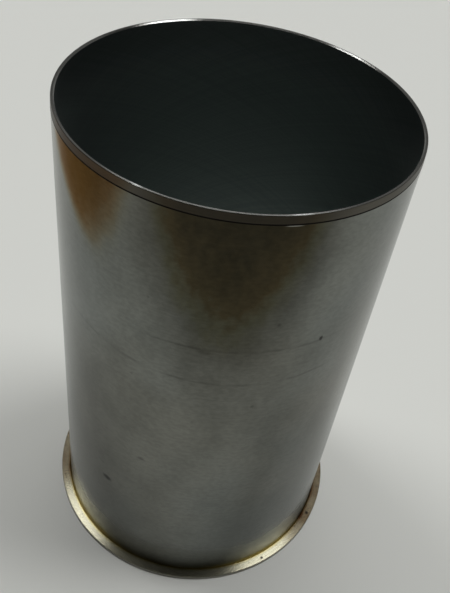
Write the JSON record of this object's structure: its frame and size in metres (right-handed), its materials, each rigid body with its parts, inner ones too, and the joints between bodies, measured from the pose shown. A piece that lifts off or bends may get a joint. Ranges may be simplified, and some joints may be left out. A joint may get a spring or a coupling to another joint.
{
  "type": "cylinder liner",
  "caption": "Thin-walled steel dry cylinder liner: a plain ground tube with a honed bore, a narrow flange at one end and a short lead-in land at the other.",
  "frame": {"origin": "centre of the bore at the flange's end face, which the liner stands on", "axes": "+Z along the bore, from the flange up to the plain end"},
  "size_m": [0.1018, 0.1018, 0.1575],
  "materials": {
    "steel": "satin ground outside, honed bore, bright flange"
  },
  "bodies": {
    "root": {"cylinder_liner": "steel"}
  },
  "joints": []
}
